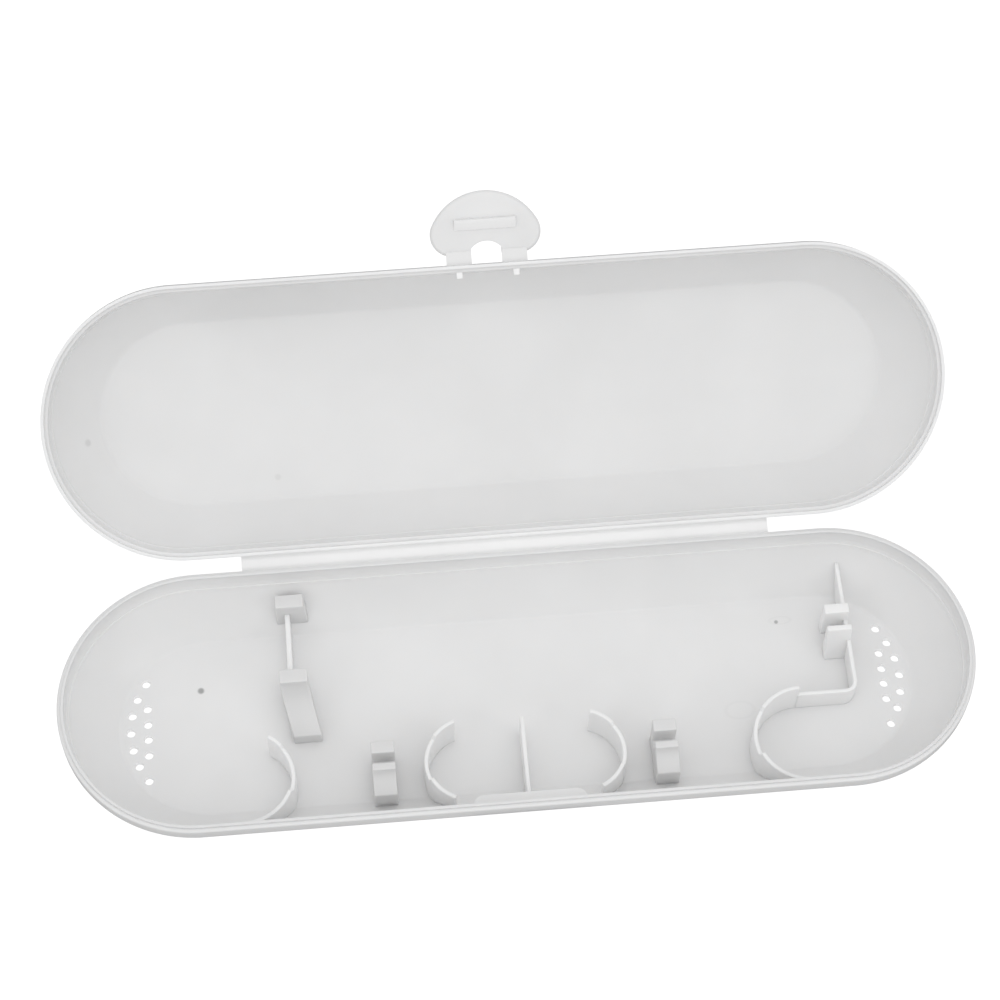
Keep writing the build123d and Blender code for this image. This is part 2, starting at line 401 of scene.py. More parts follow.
def outer_profile(top, top_round):
    """(inset, depth) from the land's outer edge down to the underside."""
    profile = []
    if top_round:
        profile += rounded((top_round, top), (0, top), (0, top + top_round))
    else:
        profile.append((0, top))
    fold = (outer_inset(band_height + bend_round), band_height + bend_round)
    profile += rounded((0, band_height - bend_round), (0, band_height), fold)
    last = half_depth - underside_round * cos(lean_at(half_depth))
    wall = [(outer_inset(depth), depth) for depth in depths(band_height + bend_round, last)]
    profile += wall[1:]
    corner = outer_inset(half_depth)
    foot = rounded(wall[-1], (corner, half_depth), (corner + underside_round, half_depth))
    return profile + foot[1:] + [(corner + underside_round + hold, half_depth)]


def inner_profile(top, top_round):
    """(inset, depth) from the land's inner edge down to the floor."""
    profile = []
    if top_round:
        profile += rounded(
            (rim_thickness - top_round, top),
            (rim_thickness, top),
            (rim_thickness, top + top_round),
        )
    else:
        profile.append((rim_thickness, top))
    shelf = inner_inset(shelf_depth)
    bend_start = (rim_thickness, band_height - inner_bend)
    profile += rounded(bend_start, (rim_thickness, band_height), (shelf, shelf_depth))
    profile.append((shelf + shelf_width, shelf_depth + shelf_fall))
    floor = half_depth - floor_thickness
    lean = lean_at(floor)
    tangent = floor_fillet * tan((pi / 2 - lean) / 2)
    last = floor - tangent * cos(lean)
    wall = [(inner_inset(depth), depth) for depth in depths(shelf_depth + shelf_drop, last)]
    corner = inner_inset(floor)
    foot = rounded(wall[-1], (corner, floor), (corner + tangent, floor))
    return profile + wall + foot[1:] + [(corner + tangent + hold, floor)]


def vent_centres():
    points = [(vent_column_x, y) for y in vent_column_y]
    for step in vent_arc_steps:
        angle = radians(step * vent_arc_step)
        points.append((vent_arc_x + vent_arc_radius * cos(angle), vent_arc_radius * sin(angle)))
    return [(side * x, y) for x, y in points for side in (-1, 1)]


def circle(centre, radius, depth):
    ring = []
    for step in range(hole_steps):
        angle = 2 * pi * step / hole_steps
        ring.append((centre[0] + radius * cos(angle), centre[1] + radius * sin(angle), -depth))
    return ring


def vent_cutter(centres):
    """Round cutters through the floor, each flared where it leaves a face."""
    mesh_data = bmesh.new()
    radius = vent_diameter / 2
    floor = half_depth - floor_thickness
    flare = vent_flare
    steps = [
        (radius + flare, half_depth + cut_margin),
        (radius + flare, half_depth),
        (radius, half_depth - flare),
        (radius, floor + flare),
        (radius + flare, floor),
        (radius + flare, floor - cut_margin),
    ]
    for centre in centres:
        rows = add_rings(mesh_data, [circle(centre, wide, depth) for wide, depth in steps])
        mesh_data.faces.new(rows[0])
        mesh_data.faces.new(rows[-1])
    return new_piece("vent_cutter", mesh_data)


def shell(name, land, outer_round, inner_round):
    """One half: a wall skin with flat floor faces."""
    outer = outer_profile(land, outer_round)
    inner = inner_profile(land, inner_round)
    rings = [stadium_ring(inset, depth) for inset, depth in reversed(outer)]
    rings += [stadium_ring(inset, depth, rim_thickness) for inset, depth in inner]
    return new_piece(name, solid_mesh(rings))


def rim_ring(name, outer, inner, top, bottom):
    """Upright ring that follows the rim, with rounded top edges."""
    mesh_data = bmesh.new()
    left = rounded((outer, top + edge_round), (outer, top), (outer + edge_round, top))
    right = rounded((inner - edge_round, top), (inner, top), (inner, top + edge_round))
    profile = [(outer, bottom)] + left + right + [(inner, bottom)]
    rings = [stadium_ring(inset, depth, rim_thickness) for inset, depth in profile]
    add_rings(mesh_data, rings, closed=True)
    return new_piece(name, mesh_data)


def inner_space(name, extra):
    """The space inside a half, as a cutter, larger than the space by a little."""
    profile = [(inset - extra, depth + extra) for inset, depth in inner_profile(0, 0)]
    profile = [(rim_thickness - extra, -above_rim)] + profile
    rings = [stadium_ring(inset, depth, rim_thickness) for inset, depth in profile]
    return new_piece(name, solid_mesh(rings))


# ---------------------------------------------------------------------------
# Latch catch
# ---------------------------------------------------------------------------
def catch_outline():
    """Plan of the catch: square corners outside, round ones inside the tray."""
    half = catch_half_width
    back = front_face + catch_inset
    front = front_face - cut_margin
    points = [(-half, front), (half, front)]
    for side in (1, -1):
        corner = []
        for step in range(corner_steps * 2 + 1):
            angle = pi / 2 * step / (corner_steps * 2)
            x = half - catch_corner + catch_corner * cos(angle)
            corner.append((side * x, back - catch_corner + catch_corner * sin(angle)))
        points += corner if side > 0 else corner[::-1]
    return points


def catch_block():
    plan = catch_outline()
    return solid_mesh([[(x, y, -depth) for x, y in plan] for depth in (catch_bottom, catch_top)])


def outer_block(name, top):
    """A half without its hollow."""
    rings = [stadium_ring(inset, depth) for inset, depth in outer_profile(top, 0)]
    return new_piece(name, solid_mesh(rings))


def latch_catch():
    """Ledge under the rim with a pocket below it, closed towards the inside."""
    mesh_data = catch_block()
    inside = front_face + rim_thickness + cut_margin
    soft = []
    for edge in mesh_data.edges:
        first, second = (vertex.co for vertex in edge.verts)
        if min(first.y, second.y) > inside and abs(first.z - second.z) < level_tolerance:
            soft.append(edge)
    bevel(mesh_data, catch_round, soft)
    piece = new_piece("latch_catch_dressed", mesh_data)
    boolean(piece, outer_block("outer", rim_gap), "INTERSECT")
    half = catch_half_width - pocket_side_wall
    pocket = block_mesh(
        (-half, half),
        (front_face - cut_margin, front_face + pocket_inset),
        (-half_depth, -catch_ledge),
    )
    deep = [edge for edge in pocket.edges if all(vertex.co.y > front_face for vertex in edge.verts)]
    bevel(pocket, pocket_round, deep)
    return boolean(piece, new_piece("pocket", pocket), "DIFFERENCE")


# ---------------------------------------------------------------------------
# Walls and posts on the tray's floor
# ---------------------------------------------------------------------------
def direction(line, index):
    """Unit vector along a line of points at one of them."""
    before = line[max(index - 1, 0)]
    after = line[min(index + 1, len(line) - 1)]
    return Vector((after[0] - before[0], after[1] - before[1])).normalized()


def wall_along(path, crests, thickness=rib_thickness):
    """Upright wall along plan points, with a rounded crest at each point's depth."""
    half = thickness / 2
    rings = []
    for index, (x, y) in enumerate(path):
        along = direction(path, index)
        across = Vector((-along.y, along.x))
        top = -crests[index]
        left = rounded((-half, top - rib_round), (-half, top), (-half + rib_round, top), crest_steps)
        right = rounded((half - rib_round, top), (half, top), (half, top - rib_round), crest_steps)
        profile = [(-half, -half_depth)] + left + right + [(half, -half_depth)]
        rings.append([(x + s * across.x, y + s * across.y, z) for s, z in profile])
    mesh_data = solid_mesh(rings)
    ends = [
        edge for edge in mesh_data.edges
        if len(edge.link_faces) == 2 and edge.calc_face_angle(0) > radians(rib_end_limit)
        and any(len(face.verts) > 4 for face in edge.link_faces)
    ]
    bevel(mesh_data, rib_end_round, ends, 2)
    return mesh_data


def arc_path(centre, radius, spans):
    """Plan points and crest depths along a circle, with a short ramp at each step."""
    path, crests = [], []
    for number, (start, end, crest) in enumerate(spans):
        first = start + (crest_ramp / 2 if number else 0)
        last = end - (crest_ramp / 2 if number < len(spans) - 1 else 0)
        count = max(int(abs(last - first) / wall_point_step), 2)
        for step in range(count + 1):
            angle = radians(first + (last - first) * step / count)
            path.append((centre[0] + radius * cos(angle), centre[1] + radius * sin(angle)))
            crests.append(crest)
    return path, crests


def mirrored(spans):
    return [(180 - end, 180 - start, crest) for start, end, crest in reversed(spans)]


def ring_spans(start):
    return [
        (start, ring_back_step, crest_back),
        (ring_back_step, ring_front_step, crest_middle),
        (ring_front_step, ring_end, crest_front),
    ]


def cup_spans():
    return [
        (cup_start, cup_front_step, crest_front),
        (cup_front_step, cup_back_step, crest_middle),
        (cup_back_step, cup_end, crest_back),
    ]


def curved_wall(centre, radius, spans):
    return wall_along(*arc_path(centre, radius, spans))


def shaft_wall():
    """From the right ring, round a corner and straight to the back wall."""
    front = ring_y + ring_radius
    radius = shaft_corner_radius
    path = [(ring_x + step, front) for step in range(0, int(shaft_wall_x - radius - ring_x), 2)]
    for step in range(post_steps + 1):
        angle = -pi / 2 + pi / 2 * step / post_steps
        x = shaft_wall_x - radius + radius * cos(angle)
        path.append((x, front + radius + radius * sin(angle)))
    rest = rim_radius - front - radius
    for step in range(1, shaft_wall_steps + 1):
        path.append((shaft_wall_x, front + radius + rest * step / shaft_wall_steps))
    return wall_along(path, [crest_low] * len(path))


def straight_wall(x, front, length, crest, thickness=rib_thickness):
    """Wall that runs away from the front."""
    path = [(x, front + length * step / post_steps) for step in range(post_steps + 1)]
    return wall_along(path, [crest] * len(path), thickness)


def cup_divider():
    return straight_wall(0, divider_front, divider_back - divider_front, crest_middle)


def cradle_rib():
    length = cradle_rear_front - cradle_front_back + 2 * rib_overlap
    front = cradle_front_back - rib_overlap
    return straight_wall(cradle_rib_x, front, length, cradle_rib_crest, cradle_rib_thickness)


def block_ring(left, right, front, back, depth, lean=0.0):
    """Four corners of a block at a depth; the front two may lean to the right."""
    return [
        (left + lean, front, -depth),
        (right + lean, front, -depth),
        (right, back, -depth),
        (left, back, -depth),
    ]


def cradle_front():
    """Flat-topped block whose front runs down in a hollow curve to a blunt toe."""
    rings = []
    for step in range(cradle_steps + 1):
        share = step / cradle_steps
        run = share ** 2
        front = cradle_front_front + (cradle_toe - cradle_front_front) * run
        depth = block_top + (cradle_toe_depth - block_top) * share
        rings.append(block_ring(
            cradle_left, cradle_right, front, cradle_front_back, depth, cradle_lean * run))
    rings.append(block_ring(
        cradle_left, cradle_right, cradle_toe, cradle_front_back, half_depth, cradle_lean))
    mesh_data = solid_mesh(rings)
    bevel(mesh_data, block_round)
    return mesh_data


def cradle_rear():
    front, back = cradle_rear_front, cradle_rear_back
    foot_right = cradle_right + cradle_rear_lean
    mesh_data = solid_mesh([
        block_ring(cradle_left, cradle_right, front, back, block_top),
        block_ring(cradle_left, foot_right, front, back, half_depth),
    ])
    bevel(mesh_data, block_round)
    return mesh_data


def neck_clip(centre):
    """Block with a cross slot; its front runs down in a hollow curve to a blunt toe."""
    outline = [
        (neck_jaw_back, -half_depth),
        (neck_jaw_back, -block_top),
        (neck_slot_back, -block_top),
        (neck_slot_back, -neck_slot_depth),
        (neck_slot_front, -neck_slot_depth),
        (neck_slot_front, -block_top),
    ]
    for step in range(neck_steps + 1):
        share = step / neck_steps
        run = (neck_jaw_toe - neck_jaw_front) * share ** 2
        outline.append((neck_jaw_front + run, -block_top - (neck_toe_depth - block_top) * share))
    outline.append((neck_jaw_toe, -half_depth))
    half = neck_clip_width / 2
    mesh_data = prism_mesh(outline, centre - half, centre + half)
    bevel(mesh_data, block_round)
    return mesh_data


def shaft_jaw(jaw, toe):
    """Upright jaw beside the shaft wall; its front face may slant out to a toe."""
    front, back = jaw
    outline = [(back, -half_depth), (back, -block_top), (front, -block_top), (toe, -half_depth)]
    mesh_data = prism_mesh(outline, shaft_clip_left, shaft_wall_x + rib_thickness / 2)
    bevel(mesh_data, block_round)
    return mesh_data


# ---------------------------------------------------------------------------
# Hinge
# ---------------------------------------------------------------------------
# (distance from the fold in mm, height as a share of half the strap's thickness)
fold_groove = ((-0.12, 0), (0, 0.5), (0.35, 0.55))
fold_shoulder = ((0.5, 0.65), (0.8, 1), (1.2, 1))


def hinge_strap():
    """Strap that thins towards its two fold lines."""
    half_pitch = hinge_pitch / 2
    thick = hinge_thickness / 2
    top = [(y - half_pitch, height * thick) for y, height in fold_groove]
    turn_in, crown, turn_out = [(y - half_pitch, height * thick) for y, height in fold_shoulder]
    top += rounded(turn_in, crown, turn_out, crest_steps)
    outline = top + [(-y, z) for y, z in reversed(top)]
    outline += [(y, -z) for y, z in reversed(outline[1:-1])]
    rings = along_x(outline, -hinge_length / 2, hinge_length / 2, hinge_steps)
    return new_piece("hinge_strap_dressed", solid_mesh(rings))


def web(name, x_low, x_high, line, thickness, stations):
    """Thin web along x whose middle line has the given (y, z) points."""
    upper, lower = [], []
    for index, (y, z) in enumerate(line):
        along = direction(line, index)
        upper.append((y - along.y * thickness / 2, z + along.x * thickness / 2))
        lower.append((y + along.y * thickness / 2, z - along.x * thickness / 2))
    outline = upper + lower[::-1]
    return new_piece(name, solid_mesh(along_x(outline, x_low, x_high, stations)))


# ---------------------------------------------------------------------------
# Latch, drawn about its fold line: y outwards from the lid
# ---------------------------------------------------------------------------
flap_bevel_line = (         # (inset, height above the flap's top), both edges softened
    (0, -flap_bevel - 0.05),
    (0.06, -flap_bevel + 0.06),
    (flap_bevel - 0.12, -0.08),
    (flap_bevel + 0.1, 0),
)


def lobe_reach():
    return hypot(flap_lobe_x, flap_lobe_y - flap_tip + flap_arc_radius)


def lobe_radius():
    return flap_arc_radius - lobe_reach()


def strap_end():
    return flap_lobe_y - sqrt(lobe_radius() ** 2 - (latch_strap_outer - flap_lobe_x) ** 2)


def flap_outline(inset):
    """One large arc, a lobe at each side and a straight edge between the lobes."""
    middle_y = flap_tip - flap_arc_radius
    meet = atan2(flap_lobe_x, flap_lobe_y - middle_y)
    points = []
    for step in range(flap_arc_steps + 1):
        angle = -meet + 2 * meet * step / flap_arc_steps
        radius = flap_arc_radius - inset
        points.append((radius * sin(angle), middle_y + radius * cos(angle)))
    for side in (1, -1):
        lobe = []
        for step in range(1, lobe_steps + 1):
            angle = meet + (pi - meet) * step / lobe_steps
            radius = lobe_radius() - inset
            x = side * (flap_lobe_x + radius * sin(angle))
            lobe.append((x, flap_lobe_y + radius * cos(angle)))
        points += lobe if side > 0 else lobe[::-1]
    return points


def latch_flap():
    """Flap with a bevelled edge, cut out for the two straps and the window."""
    top = latch_strap_thickness / 2
    bottom = top - flap_thickness
    foot = flap_foot_round
    levels = rounded((foot, bottom), (0, bottom), (0, bottom + foot), crest_steps)
    levels += [(inset, top + height) for inset, height in flap_bevel_line]
    rings = [[(x, y - latch_offset, z) for x, y in flap_outline(inset)] for inset, z in levels]
    piece = new_piece("latch_flap_dressed", solid_mesh(rings))
    outer = latch_strap_outer
    through = (bottom - cut_margin, top + cut_margin)
    zone = block_mesh((-outer, outer), (-latch_offset, strap_end() - latch_offset), through)
    boolean(piece, new_piece("zone", zone), "DIFFERENCE")
    side = latch_strap_inner
    centre_y = arch_centre()
    radius = flap_window_top - centre_y
    plan = [(-side, 0), (side, 0)]
    reach = asin(side / radius)
    for step in range(arch_steps + 1):
        angle = reach - 2 * reach * step / arch_steps
        plan.append((radius * sin(angle), centre_y + radius * cos(angle)))
    window = solid_mesh([[(x, y - latch_offset, z) for x, y in plan] for z in through])
    return boolean(piece, new_piece("window", window), "DIFFERENCE")


def arch_centre():
    """The window's arch runs through its two shoulders and its top."""
    rise = flap_window_top - flap_window_side
    radius = (latch_strap_inner ** 2 + rise ** 2) / (2 * rise)
    return flap_window_top - radius


def latch_hook_rib():
    top = latch_strap_thickness / 2
    low = top - hook_embed
    near = hook_near - latch_offset
    far = hook_far - latch_offset
    outline = [(near, low), (far - hook_back_lean, top + hook_height), (far, low)]
    mesh_data = prism_mesh(outline, -hook_half_width, hook_half_width)
    bevel(mesh_data, small_round)
    return new_piece("latch_hook_rib_dressed", mesh_data)


# ---------------------------------------------------------------------------
# Places of the four bodies at rest, in millimetres
# ---------------------------------------------------------------------------
def turn(angle):
    return Matrix.Rotation(radians(angle), 4, "X")


def move(y, z):
    return Matrix.Translation((0, y, z))


base_place = move(0, half_depth)
first_fold = move(rim_radius + hinge_offset, half_depth - hinge_pitch / 2)
hinge_place = first_fold @ turn(lid_tilt / 2) @ move(hinge_pitch / 2, 0)
second_fold = hinge_place @ move(hinge_pitch / 2, 0)
lid_place = second_fold @ turn(lid_tilt / 2) @ move(hinge_offset + rim_radius, hinge_pitch / 2)
latch_place = lid_place @ move(rim_radius + latch_offset, -latch_drop)


def settle(piece, place):
    """Puts a piece drawn in millimetres at its place, in metres."""
    piece.data.transform(Matrix.Scale(MM, 4) @ place)
    mesh_data = bmesh.new()
    mesh_data.from_mesh(piece.data)
    bmesh.ops.recalc_face_normals(mesh_data, faces=mesh_data.faces[:])
    mesh_data.to_mesh(piece.data)
    mesh_data.free()


def finish_piece(piece, place, body, material, nodes, limit=smooth_limit):
    """Shades, places and dresses a piece, and hides the solids it replaces."""
    smooth_by_angle(piece, limit)
    settle(piece, place)
    piece.data.materials.clear()
    piece.data.materials.append(material)
    if nodes:
        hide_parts(*nodes)
    if body:
        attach(piece, body)
    return piece


# ---------------------------------------------------------------------------
# Materials
# ---------------------------------------------------------------------------
roughness = 0.34
roughness_spread = 0.05
noise_range = (0.3, 0.7)    # where most of a noise's values lie
cloud_noise = (38, 3)       # scale, detail
wave_noise = (55, 1)
grain_noise = (2600, 2)
cloud_tones = (0.975, 1.015)
wave_bump = (0.25, 0.0006)  # strength, height in metres
grain_height = 0.00003
refraction = 1.49
specular_level = 0.35
scatter_colour = (1.0, 0.95, 0.9)
wall_scatter = 0.35
wall_depth = 1.6            # how deep the light scatters, in mm
thin_depth = 0.8
mark_fade = (0.5, 1.3)      # shares of its radius between which a mark fades
ring_fade = (0.1, 0.7)      # mm from a ring's line between which it fades
painted_top_light_facing = (0.75, 0.97)     # how far a face has to look up to get the painted top light
upright_facing = (0.2, 0.6)
glow_height = (0.05, 0.3)   # mm over the floor between which the vents' painted glow fades


def fill(node, values):
    """Sets values of a node's inputs."""
    for socket, value in values.items():
        node.inputs[socket].default_value = value


class Nodes:
    """Adds nodes to a material and links them."""

    def __init__(self, name):
        self.material = bpy.data.materials.new(name)
        self.material.use_nodes = True
        self.tree = self.material.node_tree
        self.shader = self.tree.nodes["Principled BSDF"]

    def add(self, kind, **values):
        node = self.tree.nodes.new(kind)
        for key, value in values.items():
            setattr(node, key, value)
        return node

    def link(self, source, target):
        self.tree.links.new(source, target)

    def noise(self, place, scale, detail):
        node = self.add("ShaderNodeTexNoise")
        fill(node, {"Scale": scale, "Detail": detail})
        self.link(place, node.inputs["Vector"])
        return node.outputs["Fac"]

    def bump(self, height, strength, distance):
        node = self.add("ShaderNodeBump")
        fill(node, {"Strength": strength, "Distance": distance})
        self.link(height, node.inputs["Height"])
        return node

    def across(self, operation, first, second):
        """Vector arithmetic with a fixed second value."""
        node = self.add("ShaderNodeVectorMath", operation=operation)
        node.inputs[1].default_value = second
        self.link(first, node.inputs[0])
        return node

    def separate(self, vector, axis):
        node = self.add("ShaderNodeSeparateXYZ")
        self.link(vector, node.inputs["Vector"])
        return node.outputs[axis]


def polypropylene(
        name, tone, grain, marks=(), rings=(), scatter=wall_scatter, depth=wall_depth,
        crest=1, glow=0):
    """Moulded white polypropylene: cloudy tone, fine grain and small dark marks; crest paints the
    faces that look up brighter as painted top light, and glow paints a glow on the vents' walls.
    """
    nodes = Nodes(name)
    shader = nodes.shader
    place = nodes.add("ShaderNodeTexCoord").outputs["Object"]
    cloud = nodes.add("ShaderNodeValToRGB")
    for stop, position, factor in zip(cloud.color_ramp.elements, noise_range, cloud_tones):
        stop.position = position
        stop.color = [factor * tone] * 3 + [1]
    nodes.link(nodes.noise(place, *cloud_noise), cloud.inputs["Fac"])
    paint = cloud.outputs["Color"]
    for spot, radius, shade in marks:
        paint = add_mark(nodes, place, paint, spot, radius, shade)
    for spot, radius, squeeze, shade in rings:
        paint = add_ring(nodes, place, paint, spot, radius, squeeze, shade)
    # Painted top light: faces that look up get a brighter colour.
    if crest > 1:
        paint = add_painted_top_light(nodes, paint, crest)
    # Painted glow: emission on the vents' walls.
    if glow:
        add_painted_vent_glow(nodes, place, glow)
    nodes.link(paint, shader.inputs["Base Color"])
    wave = nodes.noise(place, *wave_noise)
    rough = nodes.add("ShaderNodeMapRange")
    fill(rough, {
        "From Min": noise_range[0],
        "From Max": noise_range[1],
        "To Min": roughness - roughness_spread,
        "To Max": roughness + roughness_spread,
    })
    nodes.link(wave, rough.inputs["Value"])
    nodes.link(rough.outputs["Result"], shader.inputs["Roughness"])
    slow = nodes.bump(wave, *wave_bump)
    fine = nodes.bump(nodes.noise(place, *grain_noise), grain, grain_height)
    nodes.link(slow.outputs["Normal"], fine.inputs["Normal"])
    nodes.link(fine.outputs["Normal"], shader.inputs["Normal"])
    fill(shader, {
        "IOR": refraction,
        "Specular IOR Level": specular_level,
        "Subsurface Weight": scatter,
        "Subsurface Radius": scatter_colour,
        "Subsurface Scale": depth * MM,
    })
    return nodes.material


def smooth_step(nodes, value, low, high, to_low, to_high):
    """Smooth step of a value between two others."""
    step = nodes.add("ShaderNodeMapRange", interpolation_type="SMOOTHSTEP")
    fill(step, {"From Min": low, "From Max": high, "To Min": to_low, "To Max": to_high})
    nodes.link(value, step.inputs["Value"])
    return step.outputs["Result"]


def arithmetic(nodes, operation, first, second):
    node = nodes.add("ShaderNodeMath", operation=operation)
    for socket, value in zip(node.inputs, (first, second)):
        if isinstance(value, (int, float)):
            socket.default_value = value
        else:
            nodes.link(value, socket)
    return node.outputs["Value"]


def shaded(nodes, paint, amount):
    """The paint, multiplied by an amount."""
    product = nodes.add("ShaderNodeMix", data_type="RGBA", blend_type="MULTIPLY")
    product.inputs["Factor"].default_value = 1
    nodes.link(paint, product.inputs["A"])
    nodes.link(amount, product.inputs["B"])
    return product.outputs["Result"]


def add_mark(nodes, place, paint, spot, radius, shade):
    """A small soft-edged spot at a point of the object."""
    away = nodes.across("DISTANCE", place, [value * MM for value in spot])
    low, high = (radius * MM * share for share in mark_fade)
    return shaded(nodes, paint, smooth_step(nodes, away.outputs["Value"], low, high, 1 - shade, 1))


def add_ring(nodes, place, paint, spot, radius, squeeze, shade):
    """A faint oval line round a point, as a gate or an ejector pin leaves."""
    offset = nodes.across("SUBTRACT", place, [value * MM for value in spot])
    scaled = nodes.across("MULTIPLY", offset.outputs["Vector"], (1, squeeze, 1))
    away = nodes.add("ShaderNodeVectorMath", operation="LENGTH")
    nodes.link(scaled.outputs["Vector"], away.inputs[0])
    off_line = arithmetic(nodes, "SUBTRACT", away.outputs["Value"], radius * MM)
    off_line = arithmetic(nodes, "ABSOLUTE", off_line, 0)
    low, high = (value * MM for value in ring_fade)
    return shaded(nodes, paint, smooth_step(nodes, off_line, low, high, 1 - shade, 1))


def upward(nodes):
    """How far a face of the object looks up."""
    return nodes.separate(nodes.add("ShaderNodeTexCoord").outputs["Normal"], "Z")


def add_painted_top_light(nodes, paint, gain):
    """Painted top light: faces that look straight up are painted a little brighter."""
    return shaded(nodes, paint, smooth_step(nodes, upward(nodes), *painted_top_light_facing, 1, gain))


def add_painted_vent_glow(nodes, place, strength):
    """Painted glow: the walls of the vents emit a little light, standing in for light let through
    from below.
    """
    tilt = arithmetic(nodes, "ABSOLUTE", upward(nodes), 0)
    upright = smooth_step(nodes, tilt, *upright_facing, 1, 0)
    low, high = ((floor_thickness + value) * MM for value in glow_height)
    near = smooth_step(nodes, nodes.separate(place, "Z"), low, high, 1, 0)
    amount = arithmetic(nodes, "MULTIPLY", arithmetic(nodes, "MULTIPLY", upright, near), strength)
    nodes.link(amount, nodes.shader.inputs["Emission Strength"])
    nodes.shader.inputs["Emission Color"].default_value = (1, 1, 1, 1)


# Specks that show in the photo: (place in mm, radius in mm, how much darker)
floor_marks = (
    ((-74.03, 9.44, 1.4), 0.8, 0.5),
    ((63.38, 15.93, 1.4), 0.5, 0.4),
)
lid_marks = (
    ((-96.58, 65.03, 25.15), 0.9, 0.13),
    ((-52.61, 57.5, 15.37), 0.8, 0.07),
)
# Faint ovals: (place in mm, radius in mm, how flat, how much darker)
floor_rings = (
    ((64.3, 16.3, 1.4), 2.5, 2.6, 0.03),
    ((51.85, -6.04, 1.4), 3.4, 1.6, 0.025),
)
thin = {"scatter": 0, "depth": thin_depth}
# All pieces are one white plastic; their tones differ as painted light and shade. The blocks are
# painted darker as painted shade, the ribs, skirt, hinge and hook are painted lighter as painted
# light, and the crest values add painted top light.
shell_material = polypropylene(
    "shell_plastic", 0.84, 0.25, floor_marks, floor_rings, crest=1.012, glow=0.2)
lid_material = polypropylene("lid_plastic", 0.83, 0.25, lid_marks)
rib_painted_light_material = polypropylene("rib_plastic_painted_light", 0.88, 0.2, crest=1.05)
block_painted_shade_material = polypropylene("block_plastic_painted_shade", 0.70, 0.2, crest=1.10)
tongue_material = polypropylene("tongue_plastic", 0.82, 0.15)
skirt_painted_light_material = polypropylene("skirt_plastic_painted_light", 0.97, 0.15)
latch_material = polypropylene("latch_plastic", 0.85, 0.2)
hinge_painted_light_material = polypropylene("hinge_plastic_painted_light", 0.95, 0.1, **thin)
strap_material = polypropylene("strap_plastic", 0.86, 0.1, **thin)
hook_painted_light_material = polypropylene("hook_plastic_painted_light", 0.98, 0.1, **thin)


# ---------------------------------------------------------------------------
# Pieces
# ---------------------------------------------------------------------------
def on_floor(node, mesh_data, material=rib_painted_light_material):
    """A wall or post of the tray, cut to the inside of the shell."""
    piece = new_piece(f"{node}_dressed", mesh_data)
    boolean(piece, inner_space("space", embed), "INTERSECT")
    return finish_piece(piece, base_place, "base", material, [node])


base_piece = shell("base_shell_dressed", rim_gap, land_round, 0)
boolean(base_piece, vent_cutter(vent_centres()), "DIFFERENCE")
boolean(base_piece, new_piece("zone", catch_block()), "DIFFERENCE")
finish_piece(base_piece, base_place, "base", shell_material, ["base_shell"])

tongue_face = rim_thickness - tongue_thickness
tongue_piece = rim_ring(
    "base_rim_tongue_dressed", tongue_face, rim_thickness, -tongue_height, rim_gap)
finish_piece(tongue_piece, base_place, "base", tongue_material, ["base_rim_tongue"])
finish_piece(latch_catch(), base_place, "base", shell_material, ["latch_catch"])

on_floor("handle_rest_rear", cradle_rear(), block_painted_shade_material)
on_floor("handle_rest_front", cradle_front(), block_painted_shade_material)
on_floor("handle_rest_rib", cradle_rib())
on_floor("cup_divider", cup_divider())
on_floor("shaft_wall", shaft_wall())
on_floor("shaft_clip_rear_jaw", shaft_jaw(shaft_jaw_rear, shaft_jaw_rear[0]))
on_floor("shaft_clip_front_jaw", shaft_jaw(shaft_jaw_front, shaft_jaw_toe))
for side, word in ((-1, "left"), (1, "right")):
    ring = ring_spans(ring_right_start if side > 0 else ring_left_start)
    cup = cup_spans()
    if side < 0:
        ring, cup = mirrored(ring), mirrored(cup)
    ring_wall = curved_wall((side * ring_x, ring_y), ring_radius, ring)
    cup_wall = curved_wall((side * cup_x, cup_y), cup_radius, cup)
    on_floor(f"brush_ring_{word}", ring_wall)
    on_floor(f"brush_cup_{word}", cup_wall)
    on_floor(f"neck_clip_{word}", neck_clip(side * neck_clip_x), block_painted_shade_material)

finish_piece(hinge_strap(), hinge_place, "hinge", hinge_painted_light_material, ["hinge_strap"])

lid_land = rim_gap + skirt_height
lid_piece = shell("lid_shell_dressed", lid_land, 0, edge_round)
finish_piece(lid_piece, lid_place, "lid", lid_material, ["lid_shell"])
skirt_piece = rim_ring("lid_rim_skirt_dressed", 0, skirt_thickness, rim_gap, lid_land)
finish_piece(skirt_piece, lid_place, "lid", skirt_painted_light_material, ["lid_rim_skirt"])

inner_face = rim_radius - rim_thickness
for side, word in ((-1, "left"), (1, "right")):
    middle = side * lug_x
    lug = block_mesh(
        (middle - lug_width / 2, middle + lug_width / 2),
        (inner_face - lug_reach, inner_face + embed),
        (-lug_top - lug_height, -lug_top),
    )
    bevel(lug, small_round)
    lug_piece = new_piece(f"lid_snap_lug_{word}_dressed", lug)
    finish_piece(lug_piece, lid_place, "lid", hook_painted_light_material, ["lid_snap_lugs"])

finish_piece(latch_flap(), latch_place, "latch", latch_material, ["latch_flap"])
finish_piece(latch_hook_rib(), latch_place, "latch", hook_painted_light_material, ["latch_hook_rib"])


def bent_web(name, x_range, thickness, stations, place, line, material, nodes):
    """Web bent along its line and set at its place; it is attached to no body."""
    piece = web(name, *x_range, line, thickness, stations)
    finish_piece(piece, place, None, material, nodes, web_smooth_limit)
    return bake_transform(piece)


hinge_range = (-hinge_length / 2, hinge_length / 2)
half_lean = radians(lid_tilt / 2)
rim_side = hinge_offset + web_overlap


